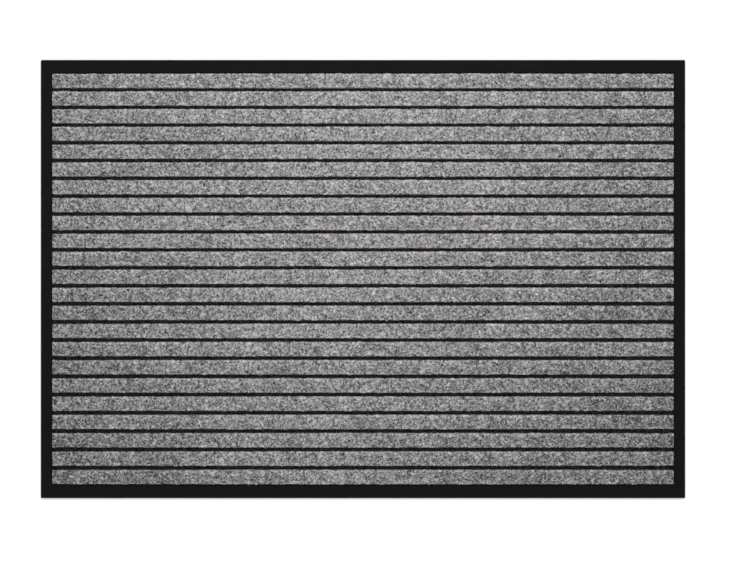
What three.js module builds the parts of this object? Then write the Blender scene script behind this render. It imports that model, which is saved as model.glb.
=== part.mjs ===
// Ribbed door mat: a moulded black backing with a flat border, a bonding film, a ground felt and
// a row of pile ribs. Millimetres. The mat lies flat with its long side along X and its rear edge
// at +Y; the origin is the centre of its underside and +Z points up.

import * as THREE from "three";
import { mergeVertices } from "three/addons/utils/BufferGeometryUtils.js";

// Outline seen from above
const MAT_WIDTH = 600;
const MAT_DEPTH = 408;
const CORNER_RADIUS = 0.9;

// Border, from the outer edge to the wall of the tray that the carpet lies in
const SIDE_BORDER = 11.1;
const REAR_BORDER = 12.65;
const FRONT_BORDER = 12.85;
const TRAY_CORNER_RADIUS = 0.6;
const EDGE_ROUNDING = 0.5;

// Thickness of each layer
const SHEET_THICKNESS = 2.0;
const BORDER_RISE = 1.0;
const FILM_THICKNESS = 0.25;
const FELT_THICKNESS = 1.5;

// Carpet
const CARPET_CLEARANCE = 0.3;
const RIB_COUNT = 23;
const REAR_GROOVE = 2.8;
const FRONT_GROOVE = 3.5;

// Section of a rib
const RIB_HEIGHT = 3.25;
const RIB_CROWN = 0.45;
const RIB_SHOULDER = 1.4;
const RIB_LEAN = 0.25;

// Straight steps that each round stretch is made of
const CORNER_STEPS = 6;
const EDGE_STEPS = 4;
const SHOULDER_STEPS = 5;
const CROWN_STEPS = 8;
const QUARTER_TURN = Math.PI / 2;

// Levels above the floor
const SHEET_TOP = SHEET_THICKNESS;
const BORDER_TOP = SHEET_TOP + BORDER_RISE;
const FILM_TOP = SHEET_TOP + FILM_THICKNESS;
const FELT_TOP = FILM_TOP + FELT_THICKNESS;

// The mat's outline, the tray in the border and the carpet in the tray, seen from above
const OUTLINE = {
  left: -MAT_WIDTH / 2,
  right: MAT_WIDTH / 2,
  front: -MAT_DEPTH / 2,
  rear: MAT_DEPTH / 2,
  radius: CORNER_RADIUS,
};
const TRAY = {
  left: OUTLINE.left + SIDE_BORDER,
  right: OUTLINE.right - SIDE_BORDER,
  front: OUTLINE.front + FRONT_BORDER,
  rear: OUTLINE.rear - REAR_BORDER,
  radius: TRAY_CORNER_RADIUS,
};
const CARPET = inset(TRAY, CARPET_CLEARANCE);

const FINISHES = {
  rubber: { color: 0x1a1919, roughness: 0.75, metalness: 0 },
  film: { color: 0x2b2a28, roughness: 0.6, metalness: 0 },
  felt: { color: 0x161515, roughness: 0.95, metalness: 0 },
  pile: { color: 0x8c8b8b, roughness: 0.95, metalness: 0 },
};

// A rounded rectangle moved inwards by the same distance all round.
function inset(rectangle, distance) {
  return {
    left: rectangle.left + distance,
    right: rectangle.right - distance,
    front: rectangle.front + distance,
    rear: rectangle.rear - distance,
    radius: rectangle.radius - distance,
  };
}

// A named mesh with a material of its own.
function piece(name, geometry, finish) {
  const mesh = new THREE.Mesh(geometry, new THREE.MeshStandardMaterial(finish));
  mesh.name = name;
  return mesh;
}

// Points round a rounded rectangle at height z, anticlockwise seen from above.
function ringAt(rectangle, z) {
  const { left, right, front, rear, radius } = rectangle;
  const centres = [
    [right - radius, rear - radius],
    [left + radius, rear - radius],
    [left + radius, front + radius],
    [right - radius, front + radius],
  ];
  return centres.flatMap(([x, y], quarter) =>
    Array.from({ length: CORNER_STEPS + 1 }, (_, step) => {
      const angle = (quarter + step / CORNER_STEPS) * QUARTER_TURN;
      return new THREE.Vector3(x + radius * Math.cos(angle), y + radius * Math.sin(angle), z);
    }),
  );
}

function middleOf(ring) {
  return new THREE.Box3().setFromPoints(ring).getCenter(new THREE.Vector3());
}

// A closed body through rings that all have as many points: a band of faces joins each ring to
// the next one, and a fan round its middle closes the first ring and the last.
function bodyThroughRings(rings) {
  const count = rings[0].length;
  const points = rings.flat();
  const last = points.length - count;
  const firstMiddle = points.push(middleOf(rings[0])) - 1;
  const lastMiddle = points.push(middleOf(rings[rings.length - 1])) - 1;
  const faces = [];
  for (let i = 0; i < count; i += 1) {
    const next = (i + 1) % count;
    for (let start = 0; start < last; start += count) {
      const above = start + count;
      faces.push(start + i, start + next, above + next);
      faces.push(start + i, above + next, above + i);
    }
    faces.push(firstMiddle, next, i);
    faces.push(lastMiddle, last + i, last + next);
  }
  const geometry = new THREE.BufferGeometry().setFromPoints(points);
  geometry.setIndex(faces);
  geometry.computeVertexNormals();
  return geometry;
}

// The border's rounded top edge: a quarter round from the outer wall over to the flat top.
function roundedEdgeRings() {
  return Array.from({ length: EDGE_STEPS + 1 }, (_, step) => {
    const angle = (step / EDGE_STEPS) * QUARTER_TURN;
    const inwards = EDGE_ROUNDING * (1 - Math.cos(angle));
    const down = EDGE_ROUNDING * (1 - Math.sin(angle));
    return ringAt(inset(OUTLINE, inwards), BORDER_TOP - down);
  });
}

// The backing: up the outer wall, over the edge and the flat border, down the wall of the tray
// and across its floor.
function backingGeometry() {
  return bodyThroughRings([
    ringAt(OUTLINE, 0),
    ...roundedEdgeRings(),
    ringAt(TRAY, BORDER_TOP),
    ringAt(TRAY, SHEET_TOP),
  ]);
}

// A flat layer that fills the carpet's outline between two levels.
function layerGeometry(bottom, top) {
  return bodyThroughRings([ringAt(CARPET, bottom), ringAt(CARPET, top)]);
}

// The grooves widen steadily from the rear of the carpet to its front.
function grooveWidths() {
  const grooveCount = RIB_COUNT - 1;
  return Array.from({ length: grooveCount }, (_, index) =>
    THREE.MathUtils.lerp(REAR_GROOVE, FRONT_GROOVE, index / (grooveCount - 1)),
  );
}

// All ribs are equally wide and share what the grooves leave of the carpet's depth.
function ribWidth(grooves) {
  const taken = grooves.reduce((sum, width) => sum + width, 0);
  return (CARPET.rear - CARPET.front - taken) / RIB_COUNT;
}

// One round shoulder of a rib, from its flank up to its crown. Side is 1 or -1.
function shoulder(side, flat, top) {
  return Array.from({ length: SHOULDER_STEPS + 1 }, (_, step) => {
    const angle = (step / SHOULDER_STEPS) * QUARTER_TURN;
    const outwards = flat + RIB_SHOULDER * Math.cos(angle);
    const down = RIB_SHOULDER * (1 - Math.sin(angle));
    return new THREE.Vector2(side * outwards, top - down);
  });
}

// The low crown between the shoulders, a parabola, without its two end points.
function crown(flat, top) {
  return Array.from({ length: CROWN_STEPS - 1 }, (_, step) => {
    const across = 1 - (2 * (step + 1)) / CROWN_STEPS;
    return new THREE.Vector2(flat * across, top + RIB_CROWN * (1 - across * across));
  });
}

// A rib's section, across the rib in x and upwards in y: a flat foot, flanks that lean in a
// little, round shoulders and the crown.
function ribSection(width) {
  const flat = width / 2 - RIB_LEAN - RIB_SHOULDER;
  const top = RIB_HEIGHT - RIB_CROWN;
  return new THREE.Shape([
    new THREE.Vector2(-width / 2, 0),
    new THREE.Vector2(width / 2, 0),
    ...shoulder(1, flat, top),
    ...crown(flat, top),
    ...shoulder(-1, flat, top).reverse(),
  ]);
}

// A rib lies along X on the ground felt, with its middle line at the given y.
function ribGeometry(width, y) {
  const geometry = new THREE.ExtrudeGeometry(ribSection(width), {
    depth: CARPET.right - CARPET.left,
    bevelEnabled: false,
  });
  geometry.deleteAttribute("uv");
  geometry.deleteAttribute("normal");
  const along = new THREE.Vector3(1, 0, 0);
  const across = new THREE.Vector3(0, 1, 0);
  const up = new THREE.Vector3(0, 0, 1);
  geometry.applyMatrix4(new THREE.Matrix4().makeBasis(across, up, along));
  geometry.translate(CARPET.left, y, FELT_TOP);
  const closed = mergeVertices(geometry);
  closed.computeVertexNormals();
  return closed;
}

// Ribs and grooves take turns from the rear edge of the carpet to its front edge.
function ribRow() {
  const grooves = grooveWidths();
  const width = ribWidth(grooves);
  const row = new THREE.Group();
  let rear = CARPET.rear;
  for (let index = 0; index < RIB_COUNT; index += 1) {
    const name = `rib_${String(index + 1).padStart(2, "0")}`;
    row.add(piece(name, ribGeometry(width, rear - width / 2), FINISHES.pile));
    rear -= width + (grooves[index] ?? 0);
  }
  return row;
}

const mat = new THREE.Group();
mat.add(piece("backing", backingGeometry(), FINISHES.rubber));
mat.add(piece("bonding_film", layerGeometry(SHEET_TOP, FILM_TOP), FINISHES.film));
mat.add(piece("ground_felt", layerGeometry(FILM_TOP, FELT_TOP), FINISHES.felt));
mat.add(ribRow());

export default mat;
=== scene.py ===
"""Ribbed door mat on a pale studio floor: black moulded backing, ground felt and grey pile ribs."""

import bpy
import numpy as np
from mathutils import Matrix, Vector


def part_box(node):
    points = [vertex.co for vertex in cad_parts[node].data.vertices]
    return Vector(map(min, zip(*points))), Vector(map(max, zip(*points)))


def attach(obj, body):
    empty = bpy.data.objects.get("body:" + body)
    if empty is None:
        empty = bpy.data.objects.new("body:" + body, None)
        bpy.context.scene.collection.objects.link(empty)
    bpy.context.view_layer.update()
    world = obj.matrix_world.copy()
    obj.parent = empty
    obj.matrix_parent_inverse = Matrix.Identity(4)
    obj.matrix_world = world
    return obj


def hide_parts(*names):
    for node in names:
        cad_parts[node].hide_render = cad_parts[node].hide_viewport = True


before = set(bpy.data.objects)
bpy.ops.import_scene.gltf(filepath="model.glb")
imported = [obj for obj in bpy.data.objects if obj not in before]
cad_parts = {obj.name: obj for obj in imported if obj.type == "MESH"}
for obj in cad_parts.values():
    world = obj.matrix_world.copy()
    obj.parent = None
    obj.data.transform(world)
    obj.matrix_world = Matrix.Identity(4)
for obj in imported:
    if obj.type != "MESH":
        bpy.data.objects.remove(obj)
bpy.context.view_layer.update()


# ---------------------------------------------------------------------------------------------
# Studio. A plain pale floor, an even pale sky and two soft boxes that face the mat: a small one
# above its rear and a large one further off in front. The camera looks straight down on it.
# ---------------------------------------------------------------------------------------------

SCENE = bpy.context.scene
SCENE.view_settings.view_transform = "Standard"

MM = 0.001
CAMERA_LENS = 85.0
CAMERA_SENSOR = 36.0
VIEW_WIDTH = 684.3 * MM
CAMERA_OFFSET = (4.2 * MM, -3.2 * MM)
FLOOR_HALF = 6.0
FLOOR_DROP = 0.2 * MM
FLOOR_COLOUR = (0.95, 0.95, 0.95, 1)
FLOOR_ROUGHNESS = 0.9
FLOOR_SPECULAR = 0.1
SKY_COLOUR = (1, 1, 1, 1)
SKY_STRENGTH = 0.72


def add_camera():
    """Straight down over the mat, so high that the view is VIEW_WIDTH wide at the border's top:
    the height is that width times the lens length over the sensor width."""
    camera = bpy.data.cameras.new("camera")
    camera.lens = CAMERA_LENS
    camera.sensor_width = CAMERA_SENSOR
    height = VIEW_WIDTH * CAMERA_LENS / CAMERA_SENSOR
    holder = bpy.data.objects.new("camera", camera)
    holder.location = (*CAMERA_OFFSET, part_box("backing")[1][2] + height)
    SCENE.collection.objects.link(holder)
    SCENE.camera = holder


def add_softbox(name, place, turn, size, power):
    """A rectangular soft box of the given size in metres and power in watts. It faces straight
    down before its turn, in radians about X, Y and Z."""
    light = bpy.data.lights.new(name, "AREA")
    light.shape = "RECTANGLE"
    light.size, light.size_y = size
    light.energy = power
    holder = bpy.data.objects.new(name, light)
    holder.location = place
    holder.rotation_euler = turn
    holder.visible_camera = False
    SCENE.collection.objects.link(holder)


def add_floor():
    """One large square just under the mat, matt and almost white."""
    mesh = bpy.data.meshes.new("floor")
    corners = np.array([(-1, -1, 0), (1, -1, 0), (1, 1, 0), (-1, 1, 0)]) * FLOOR_HALF
    mesh.from_pydata(corners - (0, 0, FLOOR_DROP), [], [(0, 1, 2, 3)])
    floor = bpy.data.objects.new("floor", mesh)
    SCENE.collection.objects.link(floor)
    material = bpy.data.materials.new("floor")
    material.use_nodes = True
    shader = material.node_tree.nodes["Principled BSDF"]
    shader.inputs["Base Color"].default_value = FLOOR_COLOUR
    shader.inputs["Roughness"].default_value = FLOOR_ROUGHNESS
    shader.inputs["Specular IOR Level"].default_value = FLOOR_SPECULAR
    mesh.materials.append(material)


sky = bpy.data.worlds.new("sky")
sky.use_nodes = True
sky.node_tree.nodes["Background"].inputs["Color"].default_value = SKY_COLOUR
sky.node_tree.nodes["Background"].inputs["Strength"].default_value = SKY_STRENGTH
SCENE.world = sky

add_camera()
add_floor()
add_softbox("rear_softbox", place=(0, 0.42, 1.0), turn=(-0.4, 0, 0), size=(0.5, 0.3), power=6.2)
add_softbox("front_softbox", place=(0, -1.2, 1.6), turn=(0.64, 0, 0), size=(0.9, 0.6), power=8.2)


# ---------------------------------------------------------------------------------------------
# Backing. One casting of soft black vinyl: the sheet under the carpet and the flat border round
# it, with rounded outer edges. The underside has a shallow waffle of grip pads inside a plain rim.
# ---------------------------------------------------------------------------------------------

OUTLINE = np.array(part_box("backing"))
CARPET = np.array(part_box("ground_felt"))
SHEET_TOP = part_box("bonding_film")[0][2]
BORDER_TOP = OUTLINE[1, 2]
CARPET_CLEARANCE = 0.3 * MM
CORNER_RADIUS = 0.9 * MM
TRAY_CORNER_RADIUS = 0.6 * MM
EDGE_ROUNDING = 0.5 * MM
EDGE_STEPS = 5
LOWER_ROUNDING = 0.15 * MM
LIP_ROUNDING = 0.2 * MM
BORDER_STEPS = 9
PAD_PITCH = 10 * MM
PAD_LINES = 4
CHANNEL_DEPTH = 0.4 * MM
PLAIN_RIM = 14 * MM
BORDER_WAVE = 0.05 * MM
WAVE_LENGTH = 28 * MM
WAVE_STRETCH = (0.7, 1.4)
WAVE_COUNT = 14
WAVE_SEED = 3
CORNER_LINES = np.array([0, 0.2, 0.4, 0.65, 0.9]) * MM
VINYL_COLOUR = (0.0048, 0.0042, 0.0043)
VINYL_BLOOM_COLOUR = (0.00864, 0.00756, 0.00774)
VINYL_BLOOM = 0.35
VINYL_DUST_COLOUR = (0.2, 0.19, 0.18)
VINYL_DUST = 0.12
VINYL_BUMP = 0.09 * MM
PORE_HEIGHT = 0.6
VINYL_ROUGHNESS = (0.56, 0.7)
# Noise scales, in waves per metre
VINYL_GRAIN, VINYL_PORES, VINYL_CLOUDS = 2600, 700, 30
DUST_SPECKS, DUST_PATCHES = 1500, 22
# Stretches of noise that become 0 to 1
BLOOM_EDGE, GLOSS_EDGE = (0.35, 0.8), (0.3, 0.7)
SPECK_EDGE, PATCH_EDGE = (0.66, 0.76), (0.42, 0.68)


def grid_lines(low, high, step, ends):
    """Lines from low to high: the given offsets from both ends, and even steps in between."""
    inner_low, inner_high = low + ends[-1], high - ends[-1]
    inner = np.linspace(inner_low, inner_high, round((inner_high - inner_low) / step) + 1)
    return np.concatenate([low + ends[:-1], inner, (high - ends[:-1])[::-1]])


def rounded(x, y, low, high, radius):
    """Moves plan points so that the rectangle's corners become quarter rounds. In each corner
    square a and b run from 0 to 1 towards the corner, and become a * sqrt(1 - b * b / 2) and
    b * sqrt(1 - a * a / 2), which bends the square into a quarter disc."""
    middle, half = (low + high) / 2, (high - low) / 2
    dx, dy = x - middle[0], y - middle[1]
    flat = half - radius
    a = np.clip((np.abs(dx) - flat[0]) / radius, 0, 1)
    b = np.clip((np.abs(dy) - flat[1]) / radius, 0, 1)
    new_a, new_b = a * np.sqrt(1 - b * b / 2), b * np.sqrt(1 - a * a / 2)
    return x + np.sign(dx) * (new_a - a) * radius, y + np.sign(dy) * (new_b - b) * radius


def ripple(x, y):
    """Smooth random surface of about unit height: the sum of WAVE_COUNT plane waves with random
    phases and directions, and lengths that are WAVE_LENGTH times a random number from
    WAVE_STRETCH, over the root of half their count."""
    rng = np.random.default_rng(WAVE_SEED)
    headings = rng.uniform(0, 2 * np.pi, WAVE_COUNT)
    rates = 2 * np.pi / (WAVE_LENGTH * rng.uniform(*WAVE_STRETCH, WAVE_COUNT))
    phases = rng.uniform(0, 2 * np.pi, WAVE_COUNT)
    total = np.zeros(np.shape(x))
    for heading, rate, phase in zip(headings, rates, phases):
        total += np.sin((x * np.cos(heading) + y * np.sin(heading)) * rate + phase)
    return total / np.sqrt(WAVE_COUNT / 2)


def grid_faces(rows, columns):
    """Quads of a grid of points stored row by row, anticlockwise seen from above when rows run
    along +Y and columns along +X."""
    index = np.arange(rows * columns).reshape(rows, columns)
    quads = np.stack([index[:-1, :-1], index[:-1, 1:], index[1:, 1:], index[1:, :-1]], -1)
    return quads.reshape(-1, 4)


def band_faces(rings, count, start):
    """Quads between rings of count points each, stored one after the other from index start, each
    closed on itself and anticlockwise seen from above, with the next ring outside or above it."""
    here = start + np.arange(rings * count).reshape(rings, count)
    after = np.roll(here, -1, axis=1)
    return np.stack([here[:-1], after[:-1], after[1:], here[1:]], -1).reshape(-1, 4)


def perimeter(rows, columns):
    """Indices of a grid's outermost points, anticlockwise from its first point."""
    index = np.arange(rows * columns).reshape(rows, columns)
    sides = (index[0, :-1], index[:-1, -1], index[-1, :0:-1], index[:0:-1, 0])
    return np.concatenate(sides)


def mesh_object(name, points, quads, triangles, attributes=None):
    """A smooth-shaded object at the origin whose mesh holds the points in metres, the quads and
    triangles, and one number per point for each named attribute."""
    mesh = bpy.data.meshes.new(name)
    faces = [np.asarray(quads, dtype=np.int32).reshape(-1, 4)]
    faces.append(np.asarray(triangles, dtype=np.int32).reshape(-1, 3))
    sizes = np.repeat([4, 3], [len(faces[0]), len(faces[1])]).astype(np.int32)
    corners = np.concatenate([kind.ravel() for kind in faces])
    mesh.vertices.add(len(points))
    mesh.vertices.foreach_set("co", np.asarray(points, dtype=np.float32).ravel())
    mesh.loops.add(len(corners))
    mesh.loops.foreach_set("vertex_index", corners)
    mesh.polygons.add(len(sizes))
    starts = np.concatenate([[0], np.cumsum(sizes)[:-1]]).astype(np.int32)
    mesh.polygons.foreach_set("loop_start", starts)
    mesh.polygons.foreach_set("use_smooth", np.full(len(sizes), True))
    for label, values in (attributes or {}).items():
        layer = mesh.attributes.new(label, "FLOAT", "POINT")
        layer.data.foreach_set("value", np.asarray(values, dtype=np.float32).ravel())
    mesh.update(calc_edges=True)
    mesh.validate()
    made = bpy.data.objects.new(name, mesh)
    SCENE.collection.objects.link(made)
    return made


def waffle(x, y):
    """Height of the underside above the floor: 0 on the pads, rising to CHANNEL_DEPTH on the grid
    line between two pads, each way, and 0 again within PLAIN_RIM of the outline."""
    rim = np.minimum(OUTLINE[1, 0] - np.abs(x), OUTLINE[1, 1] - np.abs(y))
    step = PAD_PITCH / PAD_LINES
    along_x = np.clip(1 - np.abs((x / PAD_PITCH + 0.5) % 1 - 0.5) * PAD_PITCH / step, 0, 1)
    along_y = np.clip(1 - np.abs((y / PAD_PITCH + 0.5) % 1 - 0.5) * PAD_PITCH / step, 0, 1)
    inside = np.clip((rim - PLAIN_RIM) / step, 0, 1)
    return CHANNEL_DEPTH * np.maximum(along_x, along_y) * inside


def backing_mesh():
    """The underside is a grid. From its perimeter, rings of as many points go up the outer wall,
    over the quarter round, across the border, over the lip and down the tray's wall, and a fan
    from the middle closes the tray's floor. The border's top is sunk by BORDER_WAVE, and ripples
    by about as much."""
    low, high = OUTLINE[0, :2], OUTLINE[1, :2]
    tray_low, tray_high = CARPET[0, :2] - CARPET_CLEARANCE, CARPET[1, :2] + CARPET_CLEARANCE
    step = PAD_PITCH / PAD_LINES
    lines_x = grid_lines(low[0], high[0], step, CORNER_LINES)
    lines_y = grid_lines(low[1], high[1], step, CORNER_LINES)
    plan_x, plan_y = np.meshgrid(lines_x, lines_y)
    share_x, share_y = (plan_x - low[0]) / (high - low)[0], (plan_y - low[1]) / (high - low)[1]

    def plan(ring_low, ring_high, radius, pick=slice(None)):
        """The grid's points, each at its share of the outline, laid over another rectangle."""
        x = ring_low[0] + share_x.ravel()[pick] * (ring_high - ring_low)[0]
        y = ring_low[1] + share_y.ravel()[pick] * (ring_high - ring_low)[1]
        return rounded(x, y, ring_low, ring_high, radius)

    inner = LOWER_ROUNDING
    x, y = plan(low + inner, high - inner, CORNER_RADIUS - inner)
    under = np.stack([x, y, waffle(x, y)], -1)
    edge = perimeter(*plan_x.shape)
    turn = np.linspace(0, np.pi / 2, EDGE_STEPS + 1)
    insets = EDGE_ROUNDING * (1 - np.cos(turn))
    levels = BORDER_TOP - EDGE_ROUNDING * (1 - np.sin(turn))
    rings = [(low, high, CORNER_RADIUS, LOWER_ROUNDING)]
    for inset, level in zip(insets, levels):
        rings.append((low + inset, high - inset, CORNER_RADIUS - inset, level))
    outer_low, outer_high, outer_radius, _ = rings[-1]
    lip_low, lip_high = tray_low - LIP_ROUNDING, tray_high + LIP_ROUNDING
    lip_radius = TRAY_CORNER_RADIUS + LIP_ROUNDING
    for share in np.linspace(0, 1, BORDER_STEPS + 1)[1:]:
        ring_low = outer_low + (lip_low - outer_low) * share
        ring_high = outer_high + (lip_high - outer_high) * share
        radius = outer_radius + (lip_radius - outer_radius) * share
        rings.append((ring_low, ring_high, radius, BORDER_TOP))
    rings.append((tray_low, tray_high, TRAY_CORNER_RADIUS, BORDER_TOP - LIP_ROUNDING))
    rings.append((tray_low, tray_high, TRAY_CORNER_RADIUS, SHEET_TOP))
    points = [under]
    for ring_low, ring_high, radius, z in rings:
        x, y = plan(ring_low, ring_high, radius, edge)
        on_top = 1.0 if z == BORDER_TOP else 0.0
        lift = BORDER_WAVE * on_top * (ripple(x, y) - 1)
        points.append(np.stack([x, y, z + lift], -1))
    middle = np.array([[*(tray_low + tray_high) / 2, SHEET_TOP]])
    points = np.concatenate([*points, middle])
    size, count = plan_x.size, len(edge)
    quads = [grid_faces(*plan_x.shape)[:, ::-1], band_faces(len(rings), count, size)]
    first = size + np.arange(count)
    quads.append(np.stack([edge, np.roll(edge, -1), np.roll(first, -1), first], -1))
    last_ring = size + (len(rings) - 1) * count + np.arange(count)
    centre = np.full(count, len(points) - 1)
    fan = np.stack([last_ring, np.roll(last_ring, -1), centre], -1)
    return mesh_object("backing_moulding", points, np.concatenate(quads), fan)


def new_group(name, inputs, outputs):
    """An empty shader node group with the named sockets: inputs as (name, kind, value) and
    outputs as (name, kind). Returns the group with its input and output nodes."""
    group = bpy.data.node_groups.new(name, "ShaderNodeTree")
    for label, kind, value in inputs:
        socket = group.interface.new_socket(label, in_out="INPUT", socket_type=kind)
        if value is not None:
            socket.default_value = value
    for label, kind in outputs:
        group.interface.new_socket(label, in_out="OUTPUT", socket_type=kind)
    return group, group.nodes.new("NodeGroupInput"), group.nodes.new("NodeGroupOutput")


def math_node(tree, operation, first, second=None, clamp=False):
    """A Math node whose inputs are sockets or numbers. Returns its result socket."""
    node = tree.nodes.new("ShaderNodeMath")
    node.operation = operation
    node.use_clamp = clamp
    for socket, value in zip(node.inputs, (first, second)):
        if isinstance(value, bpy.types.NodeSocket):
            tree.links.new(value, socket)
        elif value is not None:
            socket.default_value = value
    return node.outputs[0]


def noise_node(tree, vector, scale, detail=2.0, roughness=0.5, distortion=0.0):
    """A Noise texture read at vector. Returns its value socket, from 0 to 1 around 0.5."""
    node = tree.nodes.new("ShaderNodeTexNoise")
    labels = ("Scale", "Detail", "Roughness", "Distortion")
    for label, value in zip(labels, (scale, detail, roughness, distortion)):
        if isinstance(value, bpy.types.NodeSocket):
            tree.links.new(value, node.inputs[label])
        else:
            node.inputs[label].default_value = value
    tree.links.new(vector, node.inputs["Vector"])
    return node.outputs["Fac"]


def range_node(tree, value, low, high, to_low=0.0, to_high=1.0):
    """Maps low..high to to_low..to_high without going past them. Returns the result socket."""
    node = tree.nodes.new("ShaderNodeMapRange")
    tree.links.new(value, node.inputs["Value"])
    labels = ("From Min", "From Max", "To Min", "To Max")
    for label, number in zip(labels, (low, high, to_low, to_high)):
        node.inputs[label].default_value = number
    return node.outputs["Result"]


def mix_colours(tree, share, first, second):
    """Mixes two colours, each a socket or a tuple, by a share socket. Returns the colour. The Mix
    node's inputs 6 and 7 and its output 2 are the ones for colours."""
    node = tree.nodes.new("ShaderNodeMix")
    node.data_type = "RGBA"
    tree.links.new(share, node.inputs[0])
    for socket, colour in zip(node.inputs[6:8], (first, second)):
        if isinstance(colour, bpy.types.NodeSocket):
            tree.links.new(colour, socket)
        else:
            socket.default_value = (*colour, 1)
    return node.outputs[2]


def bump_node(tree, height, distance):
    """A Bump node over the height socket, with its full height in metres. Returns the normal."""
    node = tree.nodes.new("ShaderNodeBump")
    node.inputs["Strength"].default_value = 1
    node.inputs["Distance"].default_value = distance
    tree.links.new(height, node.inputs["Height"])
    return node.outputs["Normal"]


def place_group(tree, group, **values):
    """Places a shader node group in a material and sets or links its inputs by name. Returns the
    group node."""
    node = tree.nodes.new("ShaderNodeGroup")
    node.node_tree = group
    for label, value in values.items():
        socket = node.inputs[label]
        if isinstance(value, bpy.types.NodeSocket):
            tree.links.new(value, socket)
        else:
            socket.default_value = value
    return node


def new_material(name, roughness, specular, sheen=0.0):
    """A material with a Principled shader whose plain numbers are set on the shader itself.
    Returns the material, its tree, the shader and the Object coordinates."""
    material = bpy.data.materials.new(name)
    material.use_nodes = True
    tree = material.node_tree
    shader = tree.nodes["Principled BSDF"]
    shader.inputs["Roughness"].default_value = roughness
    shader.inputs["Specular IOR Level"].default_value = specular
    shader.inputs["Sheen Weight"].default_value = sheen
    place = tree.nodes.new("ShaderNodeTexCoord").outputs["Object"]
    return material, tree, shader, place


def dust_group():
    """Specks and lint: the peaks of a fine noise, times the patches of a broad noise, times the
    given amount. Puts out a mask."""
    inputs = (("Vector", "NodeSocketVector", None), ("Amount", "NodeSocketFloat", 0.5))
    group, given, result = new_group("dust", inputs, (("Mask", "NodeSocketFloat"),))
    fine = noise_node(group, given.outputs["Vector"], DUST_SPECKS, detail=1.0)
    broad = noise_node(group, given.outputs["Vector"], DUST_PATCHES, detail=3.0)
    specks = range_node(group, fine, *SPECK_EDGE)
    patches = range_node(group, broad, *PATCH_EDGE)
    both = math_node(group, "MULTIPLY", specks, patches)
    mask = math_node(group, "MULTIPLY", both, given.outputs["Amount"], clamp=True)
    group.links.new(mask, result.inputs["Mask"])
    return group


DUST = dust_group()


def vinyl_material():
    """Matt black vinyl. A fine grain plus PORE_HEIGHT of coarser pores is the bump. A broad cloud
    noise shifts the roughness and mixes in up to VINYL_BLOOM of a paler bloom, and dust lies over
    it."""
    material, tree, shader, place = new_material("moulded_vinyl", roughness=0.6, specular=0.045)
    grain = noise_node(tree, place, VINYL_GRAIN, detail=2.0, roughness=0.6)
    pores = noise_node(tree, place, VINYL_PORES, detail=3.0, roughness=0.55)
    cloud = noise_node(tree, place, VINYL_CLOUDS, detail=4.0, roughness=0.6)
    height = math_node(tree, "ADD", math_node(tree, "MULTIPLY", pores, PORE_HEIGHT), grain)
    tree.links.new(bump_node(tree, height, VINYL_BUMP), shader.inputs["Normal"])
    gloss = range_node(tree, cloud, *GLOSS_EDGE, *VINYL_ROUGHNESS)
    tree.links.new(gloss, shader.inputs["Roughness"])
    bloom = math_node(tree, "MULTIPLY", range_node(tree, cloud, *BLOOM_EDGE), VINYL_BLOOM)
    tint = mix_colours(tree, bloom, VINYL_COLOUR, VINYL_BLOOM_COLOUR)
    dust = place_group(tree, DUST, Vector=place, Amount=VINYL_DUST)
    tint = mix_colours(tree, dust.outputs["Mask"], tint, VINYL_DUST_COLOUR)
    tree.links.new(tint, shader.inputs["Base Color"])
    return material


backing = backing_mesh()
backing.data.materials.append(vinyl_material())
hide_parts("backing")
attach(backing, "root")


# ---------------------------------------------------------------------------------------------
# Bonding film. A thin dark film of set vinyl glue between the backing's tray and the felt. It
# keeps its CAD shape and is out of sight under the carpet.
# ---------------------------------------------------------------------------------------------

FILM_COLOUR = (0.02, 0.019, 0.017)
FILM_STREAK_COLOUR = (0.035, 0.033, 0.03)
FILM_STREAKS = 90
FILM_BUMP = 0.1 * MM


def film_material():
    """Set glue, dark and smooth: a warped noise mixes its two colours and is its bump."""
    material, tree, shader, place = new_material("bonding_film", roughness=0.4, specular=0.4)
    streaks = noise_node(tree, place, FILM_STREAKS, detail=3.0, distortion=0.8)
    tint = mix_colours(tree, streaks, FILM_COLOUR, FILM_STREAK_COLOUR)
    tree.links.new(tint, shader.inputs["Base Color"])
    tree.links.new(bump_node(tree, streaks, FILM_BUMP), shader.inputs["Normal"])
    return material


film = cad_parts["bonding_film"]
film.data.materials.clear()
film.data.materials.append(film_material())


# ---------------------------------------------------------------------------------------------
# Ground felt. Black needle-punched felt, cut to the tray, that carries the ribs and shows at the
# bottom of the grooves between them. It is laid flat and bonded all over.
# ---------------------------------------------------------------------------------------------

RIB_NAMES = sorted(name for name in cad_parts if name.startswith("rib_"))
RIB_BOXES = np.array([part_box(name) for name in RIB_NAMES])
FELT_TOP = CARPET[1, 2]
FELT_BOTTOM = CARPET[0, 2]
FELT_STEP = 1.3 * MM
GROOVE_LINES = 6
FELT_TUCK = 0.8 * MM
FELT_LUMP = 1.6 * MM
FELT_RELIEF = 0.08 * MM
FELT_SINK = 0.096 * MM
FELT_SEED = 11
FELT_COLOUR = (0.0033, 0.0029, 0.0030)
FELT_FIBRE_COLOUR = (0.0370, 0.0336, 0.0344)
FELT_DUST_COLOUR = (0.12, 0.11, 0.11)
FELT_DUST = 0.2
FELT_BUMP = 0.15 * MM
# Noise scales, in waves per metre
FIBRE_BENDS, FIBRE_STREAKS, FIBRE_CURLS = 260, 1500, (330, 410)
FIBRE_BEND = 5 * MM
# Each set of streaks: its turn in radians, how many times longer than wide its streaks are, and
# the scale of the patches where it lies on top, as the first set does wherever no other is
STREAK_SETS = ((0.4, 5.0, None), (1.5, 4.0, 310), (2.6, 6.0, 370))
# How far all the sets tilt out of the flat, in radians about X and Y
STREAK_TILT = (0.15, 0.2)
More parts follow.
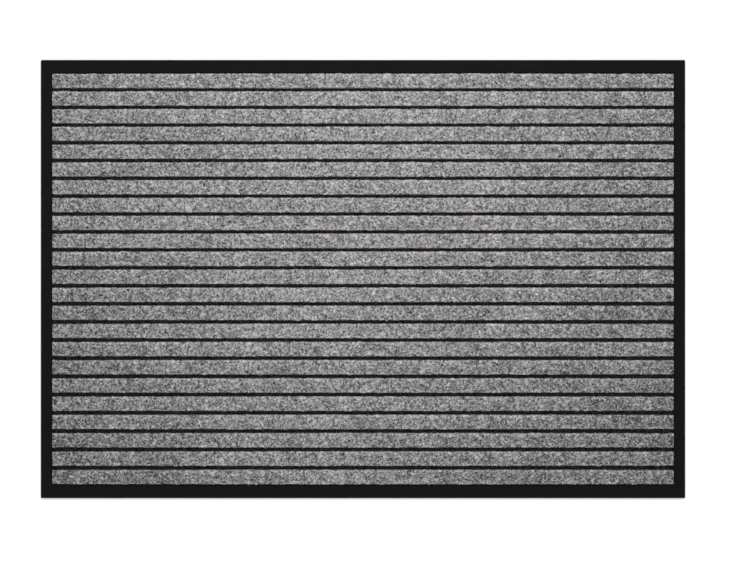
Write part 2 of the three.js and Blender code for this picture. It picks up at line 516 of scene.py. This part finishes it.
# Stretches of noise that become 0 to 1, the last of them 1 to 0
TUFT_EDGE, STREAK_EDGE, CURL_EDGE = (0.45, 0.55), (0.3, 0.7), (0.01, 0.09)
# A Gaussian's width at half its height, in deviations
HALF_HEIGHT_WIDTH = 2.355


def rough_field(rows, columns, spacing, size, rng):
    """Random field with a deviation of 1 and patches about size across: white noise whose waves
    are damped by a Gaussian over their frequency, the transform of one that is size wide at half
    its height."""
    noise = np.fft.rfft2(rng.standard_normal((rows, columns)))
    fy = np.fft.fftfreq(rows, spacing[0])[:, None]
    fx = np.fft.rfftfreq(columns, spacing[1])[None, :]
    deviation = size / HALF_HEIGHT_WIDTH
    damping = np.exp(-2 * (np.pi * deviation) ** 2 * (fx**2 + fy**2))
    field = np.fft.irfft2(noise * damping, (rows, columns))
    return (field - field.mean()) / field.std()


def felt_lines():
    """Where the grid's lines along the ribs lie: GROOVE_LINES at equal steps over each groove and
    FELT_TUCK under its two ribs, and one at each edge of the felt."""
    groove_starts = np.sort(RIB_BOXES[:, 1, 1])[:-1] - FELT_TUCK
    groove_ends = np.sort(RIB_BOXES[:, 0, 1])[1:] + FELT_TUCK
    lines = [np.linspace(*pair, GROOVE_LINES) for pair in zip(groove_starts, groove_ends)]
    return np.concatenate([[CARPET[0, 1]], *lines, [CARPET[1, 1]]])


def felt_mesh():
    """The top is a grid, fine in the grooves: FELT_SINK under the felt's top plus FELT_RELIEF
    times a rough field, which takes its rows as half a step apart. A wall goes down from its
    perimeter, and a fan closes the flat bottom."""
    rng = np.random.default_rng(FELT_SEED)
    columns = round((CARPET[1, 0] - CARPET[0, 0]) / FELT_STEP) + 1
    lines_x = np.linspace(CARPET[0, 0], CARPET[1, 0], columns)
    lines_y = felt_lines()
    x, y = np.meshgrid(lines_x, lines_y)
    spacing = (FELT_STEP / 2, FELT_STEP)
    height = FELT_TOP - FELT_SINK + FELT_RELIEF * rough_field(*x.shape, spacing, FELT_LUMP, rng)
    top = np.stack([x, y, height], -1).reshape(-1, 3)
    edge = perimeter(*x.shape)
    foot = top[edge] * (1, 1, 0) + (0, 0, FELT_BOTTOM)
    middle = np.array([[*CARPET[:, :2].mean(0), FELT_BOTTOM]])
    points = np.concatenate([top, foot, middle])
    below = len(top) + np.arange(len(edge))
    wall = np.stack([below, np.roll(below, -1), np.roll(edge, -1), edge], -1)
    centre = np.full(len(edge), len(points) - 1)
    fan = np.stack([np.roll(below, -1), below, centre], -1)
    quads = np.concatenate([grid_faces(*x.shape), wall])
    return mesh_object("ground_felt_sheet", points, quads, fan)


def fibre_group():
    """Matted fibres: three sets of long thin streaks at different turns, all bent by a slow
    noise. Patches of noise choose the set that lies on top. Curls are bundles of fibre that
    wander along the middle level of two noises, and the higher of the two counts. Both masks
    are also heights."""
    inputs = (("Vector", "NodeSocketVector", None), ("Scale", "NodeSocketFloat", 1.0))
    outputs = (("Mask", "NodeSocketFloat"), ("Curls", "NodeSocketFloat"))
    group, given, result = new_group("matted_fibres", inputs, outputs)
    place, scale = given.outputs["Vector"], given.outputs["Scale"]
    bend = group.nodes.new("ShaderNodeTexNoise")
    bend.inputs["Scale"].default_value = FIBRE_BENDS
    bend.inputs["Detail"].default_value = 0
    group.links.new(place, bend.inputs["Vector"])
    bent = group.nodes.new("ShaderNodeVectorMath")
    bent.operation = "MULTIPLY_ADD"
    group.links.new(bend.outputs["Color"], bent.inputs[0])
    bent.inputs[1].default_value = (FIBRE_BEND,) * 3
    group.links.new(place, bent.inputs[2])
    streak_scale = math_node(group, "MULTIPLY", scale, FIBRE_STREAKS)
    lying = None
    for turn, stretch, patches in STREAK_SETS:
        mapping = group.nodes.new("ShaderNodeMapping")
        mapping.vector_type = "TEXTURE"
        mapping.inputs["Rotation"].default_value = (*STREAK_TILT, turn)
        mapping.inputs["Scale"].default_value = (stretch, 1, 1)
        group.links.new(bent.outputs["Vector"], mapping.inputs["Vector"])
        streaks = noise_node(group, mapping.outputs["Vector"], streak_scale, detail=1.0)
        if lying is None:
            lying = streaks
            continue
        mask = range_node(group, noise_node(group, place, patches, detail=0.0), *TUFT_EDGE)
        pick = group.nodes.new("ShaderNodeMix")
        group.links.new(mask, pick.inputs[0])
        group.links.new(lying, pick.inputs[2])
        group.links.new(streaks, pick.inputs[3])
        lying = pick.outputs[0]
    group.links.new(range_node(group, lying, *STREAK_EDGE), result.inputs["Mask"])
    bundles = []
    for curls_per_metre in FIBRE_CURLS:
        curl_scale = math_node(group, "MULTIPLY", scale, curls_per_metre)
        level = noise_node(group, bent.outputs["Vector"], curl_scale, detail=0.5)
        away = math_node(group, "ABSOLUTE", math_node(group, "SUBTRACT", level, 0.5))
        bundles.append(range_node(group, away, *CURL_EDGE, 1.0, 0.0))
    curls = math_node(group, "MAXIMUM", *bundles)
    group.links.new(curls, result.inputs["Curls"])
    return group


FIBRES = fibre_group()


def felt_material():
    """Black felt with stray grey fibres where the fibre mask and the curls are both high, and a
    little dust between the ribs. The fibre mask is the bump."""
    material, tree, shader, place = new_material("black_felt", roughness=0.95, specular=0.03)
    matted = place_group(tree, FIBRES, Vector=place, Scale=1.0)
    fibres = matted.outputs["Mask"]
    strays = math_node(tree, "MULTIPLY", fibres, matted.outputs["Curls"])
    tint = mix_colours(tree, strays, FELT_COLOUR, FELT_FIBRE_COLOUR)
    dust = place_group(tree, DUST, Vector=place, Amount=FELT_DUST)
    tint = mix_colours(tree, dust.outputs["Mask"], tint, FELT_DUST_COLOUR)
    tree.links.new(tint, shader.inputs["Base Color"])
    tree.links.new(bump_node(tree, fibres, FELT_BUMP), shader.inputs["Normal"])
    return material


felt = felt_mesh()
felt.data.materials.append(felt_material())
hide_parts("ground_felt")
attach(felt, "root")


# ---------------------------------------------------------------------------------------------
# Ribs. Strips of coarse needle felt in a melange of light and dark grey, punched into the ground
# felt side by side. Each is a crowned bar with a curly looped face, ragged edges and cut ends.
# ---------------------------------------------------------------------------------------------

RIB_STEP = 0.75 * MM
PROFILE_POINTS = 28
SHOULDER_POINTS, CROWN_POINTS = 16, 33
SHOULDER_RADIUS = 1.4 * MM
RIB_CROWN = 0.45 * MM
RIB_LEAN = 0.25 * MM
END_ROUNDING = 0.35 * MM
END_DROP = 0.21 * MM
FOOT_HEIGHT = 1.2 * MM
TREAD_SPREAD = 0.034
# Sizes of the relief's patches, and how far each kind stands off the skin
CURL_SIZE, CURL_RELIEF = 1.8 * MM, 0.2 * MM
TUFT_SIZE, TUFT_RELIEF = 4.0 * MM, 0.1 * MM
RAGGED_SIZE, EDGE_RAGGED = 3.0 * MM, 0.2 * MM
SHADE_SIZE = 1.4 * MM
# What curls, tufts and shades each add to the fleck, and the painted highlight stripes along the
# two shoulders, stronger on the rear one that faces the light
CURL_FLECK, TUFT_FLECK, SHADE_FLECK = 0.6, 0.3, 0.6
REAR_PAINTED_HIGHLIGHT, FRONT_PAINTED_HIGHLIGHT = 2.6, 1.5
HIGHLIGHT_SLOPE, HIGHLIGHT_WIDTH = 0.5, 0.3
TONE_SPREAD = 0.07
TONE_SEED = 19
FIRST_RIB_SEED = 100

LOOPS_PER_RIB = 1100
LOOP_RINGS = 5
LOOP_SIDES = 3
# Shares of the way over the rib where loops may start and how far they may go
LOOP_SPOTS, LOOP_BOUNDS = (0.08, 0.92), (0.05, 0.95)
# How far from a cut end the loops start and stay
LOOP_SPOT_GAP, LOOP_END_GAP = 1.0 * MM, 0.3 * MM
LOOP_LENGTH = (1.8 * MM, 4.5 * MM)
LOOP_RADIUS = (0.12 * MM, 0.28 * MM)
LOOP_LIFT = (0.1 * MM, 0.4 * MM)
LOOP_SINK = 0.03 * MM
# The deviation of a loop's turn in radians, and its least turn
LOOP_TURN, LOOP_LEAST_TURN = 2.2, 0.2
LOOP_TAPER = 0.75
LOOP_FLECK = (1.2, 2.4)

# Bands of the bake map, from its bottom to its top, and the margins inside their cells
MAP_SKIN, MAP_UNDER = (0.0, 0.86), (0.87, 0.88)
MAP_ENDS, MAP_LOOPS = (0.885, 0.895), (0.9, 1.0)
MAP_SKIN_ROWS, SKIN_MARGIN = 5, 0.02
MAP_LOOP_ROWS, LOOP_MARGIN = 8, 0.1
# How wide a cut end lies on the map, and where a tube's end triangles lie in its cell
MAP_END_WIDTH = 0.45
CAP_DEPTH, CAP_SPREAD = 0.05, (0.4, 0.5, 0.6)

DARK_FIBRE = (0.0301, 0.0290, 0.0294)
MID_FIBRE = (0.1609, 0.1550, 0.1570)
LIGHT_FIBRE = (0.5190, 0.5000, 0.5065)
# Noise scales, in waves per metre
PILE_GRAINS, BROAD_CLOUDS = 560, 14
# Weights of the four parts of the value that chooses a fibre's colour, and how much the painted
# shade towards the sides and front, with the broad clouds, takes off
FLECK_AND_HIGHLIGHT_WEIGHT, MASK_WEIGHT, CURL_WEIGHT, GRAIN_WEIGHT = 0.09, 0.2, 0.33, 0.58
SHADE_AND_CLOUD_DEPTH = 0.15
# Where the painted shade towards the front starts, as a share of the way from the middle to the
# rear edge
FRONT_SHADE_START = 0.2
DARK_TO_MID = (0.2, 0.5)
MID_TO_LIGHT = (0.46, 0.9)
PILE_BUMP = 0.2 * MM
CURL_HEIGHT = 1.5


def curled_field(rows, columns, spacing, size, rng):
    """Random field of curled ridges with a deviation of 1: the higher of two rough fields, each
    folded to minus its distance from 0, so that ridges run where a field crosses 0."""
    folds = [-np.abs(rough_field(rows, columns, spacing, size, rng)) for _ in range(2)]
    field = np.maximum(*folds)
    return (field - field.mean()) / field.std()


def rib_profile(width, height):
    """The rib's section from the foot of its front flank over the crown to the foot of its rear
    flank, at equal steps of its length: flanks that lean in, quarter-round shoulders and a
    parabola between them. Returns points across and up, their outward normals and the length."""
    flat = width / 2 - RIB_LEAN - SHOULDER_RADIUS
    top = height - RIB_CROWN
    turn = np.linspace(0, np.pi / 2, SHOULDER_POINTS)
    side_y = np.concatenate([[width / 2], flat + SHOULDER_RADIUS * np.cos(turn)])
    side_z = np.concatenate([[0], top - SHOULDER_RADIUS * (1 - np.sin(turn))])
    crown = np.linspace(1, -1, CROWN_POINTS)[1:-1]
    y = np.concatenate([side_y, flat * crown, -side_y[::-1]])[::-1]
    z = np.concatenate([side_z, top + RIB_CROWN * (1 - crown**2), side_z[::-1]])[::-1]
    length = np.concatenate([[0], np.cumsum(np.hypot(np.diff(y), np.diff(z)))])
    even = np.linspace(0, length[-1], PROFILE_POINTS)
    points = np.stack([np.interp(even, length, y), np.interp(even, length, z)], -1)
    along = np.gradient(points, even, axis=0)
    normals = np.stack([-along[:, 1], along[:, 0]], -1)
    return points, normals / np.linalg.norm(normals, axis=1, keepdims=True), length[-1]


def rib_relief(x, profile, normals, length, rng):
    """How far the skin stands off the plain profile, along its normal: curls plus larger tufts
    plus a ragged outline on the flanks, less a quarter round of END_DROP at the cut ends, all
    fading to nothing at the foot. Returns the relief and the fleck with its painted highlight:
    the fleck is higher where the fibres are paler, a weighted sum of shades, curls and tufts,
    and the painted highlight is a Gaussian stripe along each shoulder, over the sideways part
    of the normal, stronger on the rear shoulder that faces the light."""
    shape = (len(x), PROFILE_POINTS)
    spacing = (RIB_STEP, length / (PROFILE_POINTS - 1))
    curls = curled_field(*shape, spacing, CURL_SIZE, rng)
    tufts, ragged, shades = (
        rough_field(*shape, spacing, size, rng)
        for size in (TUFT_SIZE, RAGGED_SIZE, SHADE_SIZE)
    )
    foot = np.clip(profile[:, 1] / FOOT_HEIGHT, 0, 1)[None, :]
    flank = 1 - np.abs(normals[:, 1])[None, :]
    inside = np.clip(np.minimum(x - x[0], x[-1] - x) / END_ROUNDING, 0, 1)
    drop = END_DROP * (1 - np.sqrt(1 - (1 - inside) ** 2))
    relief = CURL_RELIEF * curls + TUFT_RELIEF * tufts + EDGE_RAGGED * flank * ragged
    fleck_and_highlight = SHADE_FLECK * shades + CURL_FLECK * curls + TUFT_FLECK * tufts
    # Painted highlight: a paler stripe along each shoulder that stands in for the light falling on
    # it, stronger at the rear
    for side, highlight in ((1, REAR_PAINTED_HIGHLIGHT), (-1, FRONT_PAINTED_HIGHLIGHT)):
        fleck_and_highlight += highlight * np.exp(-(((side * normals[:, 0] - HIGHLIGHT_SLOPE) / HIGHLIGHT_WIDTH) ** 2))
    return foot * (relief - drop[:, None]), fleck_and_highlight


def skin_faces(rows):
    """Quads of the rib's skin, of its flat underside and of its two cut ends, and the place of
    each face corner on the bake map: the skin in MAP_SKIN_ROWS strips one above the other, with
    the underside and the ends in narrow strips over them."""
    index = np.arange(rows * PROFILE_POINTS).reshape(rows, PROFILE_POINTS)
    skin = grid_faces(rows, PROFILE_POINTS)[:, ::-1]
    row, column = skin // PROFILE_POINTS, skin % PROFILE_POINTS
    strip_length = -(-(rows - 1) // MAP_SKIN_ROWS)
    strip = row.min(axis=1, keepdims=True) // strip_length
    along = (row - strip * strip_length) / strip_length
    across = SKIN_MARGIN + (1 - 2 * SKIN_MARGIN) * column / (PROFILE_POINTS - 1)
    over = (strip + across) / MAP_SKIN_ROWS
    low, high = MAP_SKIN
    skin_map = np.stack([along, low + (high - low) * over], -1)
    under = np.stack([index[:-1, -1], index[1:, -1], index[1:, 0], index[:-1, 0]], -1)
    step = np.arange(rows - 1)[:, None]
    under_along = (step + (0, 1, 1, 0)) / (rows - 1)
    under_over = np.broadcast_to(np.array(MAP_UNDER)[[0, 0, 1, 1]], under.shape)
    half = PROFILE_POINTS // 2
    pair = np.arange(half - 1)[:, None] + (0, 1, 1, 0)
    side = np.array([0, 0, 1, 1])
    column = np.where(side == 0, pair, PROFILE_POINTS - 1 - pair)
    left, right = column, (rows - 1) * PROFILE_POINTS + column[:, ::-1]
    low, high = MAP_ENDS
    end_over = np.broadcast_to(low + (high - low) * side, pair.shape)
    end_along = MAP_END_WIDTH * pair / half
    left_map = np.stack([end_along, end_over], -1)
    right_map = np.stack([0.5 + end_along[:, ::-1], end_over[:, ::-1]], -1)
    under_map = np.stack([under_along, under_over], -1)
    quads = np.concatenate([skin, under, left, right])
    return quads, np.concatenate([skin_map, under_map, left_map, right_map])


def loops_on(x, centre_y, foot_z, profile, normals, length, relief, rng):
    """Points of the curled loops of fibre that lie over the skin, loop by loop and ring by ring.
    Each loop follows an arc on the unrolled skin around a random spot: with t from -1 to 1 its
    heading turns evenly, so the arc is the integral of that heading's cosine and sine. It rises
    from the skin by its lift times 1 - t * t, less LOOP_SINK. Around the arc stand LOOP_RINGS
    rings of LOOP_SIDES points, whose radius shrinks by the root of 1 - LOOP_TAPER * t * t."""
    count = LOOPS_PER_RIB
    t = np.linspace(-1, 1, LOOP_RINGS)[None, :]
    spot_x = rng.uniform(x[0] + LOOP_SPOT_GAP, x[-1] - LOOP_SPOT_GAP, (count, 1))
    spot_s = rng.uniform(*LOOP_SPOTS, (count, 1)) * length
    heading = rng.uniform(0, 2 * np.pi, (count, 1))
    reach = rng.uniform(*LOOP_LENGTH, (count, 1))
    turn = rng.normal(0, LOOP_TURN, (count, 1))
    turn = np.where(np.abs(turn) < LOOP_LEAST_TURN, LOOP_LEAST_TURN, turn)
    angle = heading + turn * t / 2
    along = spot_x + reach * (np.sin(angle) - np.sin(heading)) / turn
    over = spot_s - reach * (np.cos(angle) - np.cos(heading)) / turn
    along = np.clip(along, x[0] + LOOP_END_GAP, x[-1] - LOOP_END_GAP)
    place = np.clip(over / length, *LOOP_BOUNDS) * (PROFILE_POINTS - 1)
    whole = np.clip(place.astype(int), 0, PROFILE_POINTS - 2)
    part = (place - whole)[..., None]
    section = profile[whole] * (1 - part) + profile[whole + 1] * part
    outward = normals[whole] * (1 - part) + normals[whole + 1] * part
    row = np.clip(np.rint((along - x[0]) / RIB_STEP).astype(int), 0, len(x) - 1)
    lift = rng.uniform(*LOOP_LIFT, (count, 1)) * (1 - t * t) - LOOP_SINK
    lift = lift + relief[row, whole] * (1 - part[..., 0]) + relief[row, whole + 1] * part[..., 0]
    centre = np.stack([along, centre_y + section[..., 0], foot_z + section[..., 1]], -1)
    up = np.stack([np.zeros_like(along), outward[..., 0], outward[..., 1]], -1)
    up /= np.linalg.norm(up, axis=-1, keepdims=True)
    centre = centre + up * lift[..., None]
    forward = np.gradient(centre, axis=1)
    across = np.cross(forward, up)
    across /= np.linalg.norm(across, axis=-1, keepdims=True)
    up = np.cross(across, forward)
    up /= np.linalg.norm(up, axis=-1, keepdims=True)
    radius = rng.uniform(*LOOP_RADIUS, (count, 1)) * np.sqrt(1 - LOOP_TAPER * t * t)
    around = np.arange(LOOP_SIDES)[:, None] * 2 * np.pi / LOOP_SIDES
    ring = np.cos(around) * up[..., None, :] + np.sin(around) * across[..., None, :]
    return centre[..., None, :] + radius[..., None, None] * ring


def loop_faces(count, start):
    """Quads and end triangles of count tubes whose points are stored ring by ring, and their bake
    maps: each tube is unrolled in a cell of its own in the MAP_LOOPS band, and its two end
    triangles lie small at the two ends of that cell."""
    tube = np.arange(LOOP_RINGS * LOOP_SIDES).reshape(LOOP_RINGS, LOOP_SIDES)
    after = np.roll(tube, -1, axis=1)
    quads = np.stack([tube[:-1], after[:-1], after[1:], tube[1:]], -1).reshape(-1, 4)
    ring, side = np.meshgrid(np.arange(LOOP_RINGS - 1), np.arange(LOOP_SIDES), indexing="ij")
    ring_share = (ring[..., None] + (0, 0, 1, 1)).reshape(-1, 4) / (LOOP_RINGS - 1)
    side_share = (side[..., None] + (0, 1, 1, 0)).reshape(-1, 4) / LOOP_SIDES
    caps = np.array([tube[0, ::-1], tube[-1]])
    cap_ring = np.array([(0, CAP_DEPTH, 0), (1, 1 - CAP_DEPTH, 1)])
    cap_side = np.array([CAP_SPREAD, CAP_SPREAD])
    cell_columns = -(-count // MAP_LOOP_ROWS)
    cell_row, cell_column = np.divmod(np.arange(count), cell_columns)
    base = start + np.arange(count)[:, None, None] * tube.size
    low, high = MAP_LOOPS
    inner = 1 - 2 * LOOP_MARGIN

    def on_map(ring_share, side_share):
        """Every tube's shares along it and around it, laid in its cell's margins."""
        u = (cell_column[:, None, None] + LOOP_MARGIN + inner * ring_share) / cell_columns
        v = (cell_row[:, None, None] + LOOP_MARGIN + inner * side_share) / MAP_LOOP_ROWS
        return np.stack([u, low + (high - low) * v], -1).reshape(-1, ring_share.shape[1], 2)

    return (
        (base + quads).reshape(-1, 4),
        (base + caps).reshape(-1, 3),
        on_map(ring_share, side_share),
        on_map(cap_ring, cap_side),
    )


def add_map(made, quad_map, triangle_map):
    """Gives the mesh the UV map that its colours are baked through."""
    corners = np.concatenate([quad_map.reshape(-1, 2), triangle_map.reshape(-1, 2)])
    layer = made.data.uv_layers.new(name="OFBake")
    layer.data.foreach_set("uv", corners.astype(np.float32).ravel())


def tread(points, centre_y):
    """Treads the rib broader at its middle than at its ends: each point's distance from the
    rib's middle line grows by TREAD_SPREAD * (1/3 - u * u), with u from -1 to 1 along the rib,
    which leaves the rib's mean width as it was."""
    along = points[:, 0] / CARPET[1, 0]
    points[:, 1] += (points[:, 1] - centre_y) * TREAD_SPREAD * (1 / 3 - along**2)
    return points


def rib_piece(name, box, seed, tone):
    """One rib: its skin, underside and cut ends, with its loops joined into the same mesh. The
    skin is the profile moved along its normal by the relief, and tone is added to the fleck and
    its painted highlight."""
    rng = np.random.default_rng(seed)
    profile, normals, length = rib_profile(box[1, 1] - box[0, 1], box[1, 2] - box[0, 2])
    rows = round((box[1, 0] - box[0, 0]) / RIB_STEP) + 1
    x = np.linspace(box[0, 0], box[1, 0], rows)
    relief, fleck_and_highlight = rib_relief(x, profile, normals, length, rng)
    centre_y, foot_z = box[:, 1].mean(), box[0, 2]
    skin = np.empty((rows, PROFILE_POINTS, 3))
    skin[..., 0] = x[:, None]
    skin[..., 1] = centre_y + profile[:, 0] + normals[:, 0] * relief
    skin[..., 2] = foot_z + profile[:, 1] + normals[:, 1] * relief
    quads, quad_map = skin_faces(rows)
    loops = loops_on(x, centre_y, foot_z, profile, normals, length, relief, rng)
    loop_fleck = np.repeat(rng.normal(*LOOP_FLECK, LOOPS_PER_RIB), LOOP_RINGS * LOOP_SIDES)
    tube_quads, caps, tube_map, cap_map = loop_faces(LOOPS_PER_RIB, rows * PROFILE_POINTS)
    made = mesh_object(
        name,
        tread(np.concatenate([skin.reshape(-1, 3), loops.reshape(-1, 3)]), centre_y),
        np.concatenate([quads, tube_quads]),
        caps,
        {"fleck_and_highlight": tone + np.concatenate([fleck_and_highlight.ravel(), loop_fleck])},
    )
    add_map(made, np.concatenate([quad_map, tube_map]), cap_map)
    return made


def pile_material():
    """Melange felt: a weighted sum of the mesh's fleck and painted highlight, the fibre mask, the
    curls and a grain noise chooses between dark, middle and light grey fibre. Painted shade and
    broad clouds lower that sum: half the square of the place from middle to side, plus up to half
    towards the front, is painted shade where the light falls off, and the clouds are darker and
    lighter at random. The fibre mask plus CURL_HEIGHT times the curls is the bump."""
    material, tree, shader, place = new_material(
        "melange_pile", roughness=0.92, specular=0.12, sheen=0.12
    )
    # The fleck attribute holds the fibres' melange plus the painted highlight stripes along the
    # shoulders
    fleck_and_highlight = tree.nodes.new("ShaderNodeAttribute")
    fleck_and_highlight.attribute_name = "fleck_and_highlight"
    fibres = place_group(tree, FIBRES, Vector=place, Scale=1.0)
    mask, curls = fibres.outputs["Mask"], fibres.outputs["Curls"]
    grains = noise_node(tree, place, PILE_GRAINS, detail=1.0, distortion=0.6)
    value = math_node(tree, "MULTIPLY", fleck_and_highlight.outputs["Fac"], FLECK_AND_HIGHLIGHT_WEIGHT)
    for part, weight in ((mask, MASK_WEIGHT), (curls, CURL_WEIGHT), (grains, GRAIN_WEIGHT)):
        value = math_node(tree, "ADD", value, math_node(tree, "MULTIPLY", part, weight))
    parts = tree.nodes.new("ShaderNodeSeparateXYZ")
    tree.links.new(place, parts.inputs[0])
    # Painted shade, darker towards the sides and the front where the light falls off, plus broad
    # clouds that are darker and lighter at random
    side_shade = math_node(tree, "DIVIDE", parts.outputs["X"], CARPET[1, 0])
    side_shade = math_node(tree, "MULTIPLY", math_node(tree, "MULTIPLY", side_shade, side_shade), 0.5)
    front_shade = range_node(tree, parts.outputs["Y"], FRONT_SHADE_START * CARPET[1, 1], CARPET[0, 1], 0, 0.5)
    clouds = math_node(tree, "SUBTRACT", noise_node(tree, place, BROAD_CLOUDS), 0.5)
    shade_and_clouds = math_node(tree, "ADD", math_node(tree, "ADD", side_shade, front_shade), clouds)
    value = math_node(tree, "SUBTRACT", value, math_node(tree, "MULTIPLY", shade_and_clouds, SHADE_AND_CLOUD_DEPTH))
    tint = mix_colours(tree, range_node(tree, value, *DARK_TO_MID), DARK_FIBRE, MID_FIBRE)
    tint = mix_colours(tree, range_node(tree, value, *MID_TO_LIGHT), tint, LIGHT_FIBRE)
    tree.links.new(tint, shader.inputs["Base Color"])
    height = math_node(tree, "ADD", mask, math_node(tree, "MULTIPLY", curls, CURL_HEIGHT))
    tree.links.new(bump_node(tree, height, PILE_BUMP), shader.inputs["Normal"])
    return material


PILE = pile_material()
TONES = np.random.default_rng(TONE_SEED).normal(0, TONE_SPREAD, len(RIB_NAMES))
for number, name in enumerate(RIB_NAMES):
    rib = rib_piece(name + "_pile", RIB_BOXES[number], FIRST_RIB_SEED + number, TONES[number])
    rib.data.materials.append(PILE)
    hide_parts(name)
    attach(rib, "root")
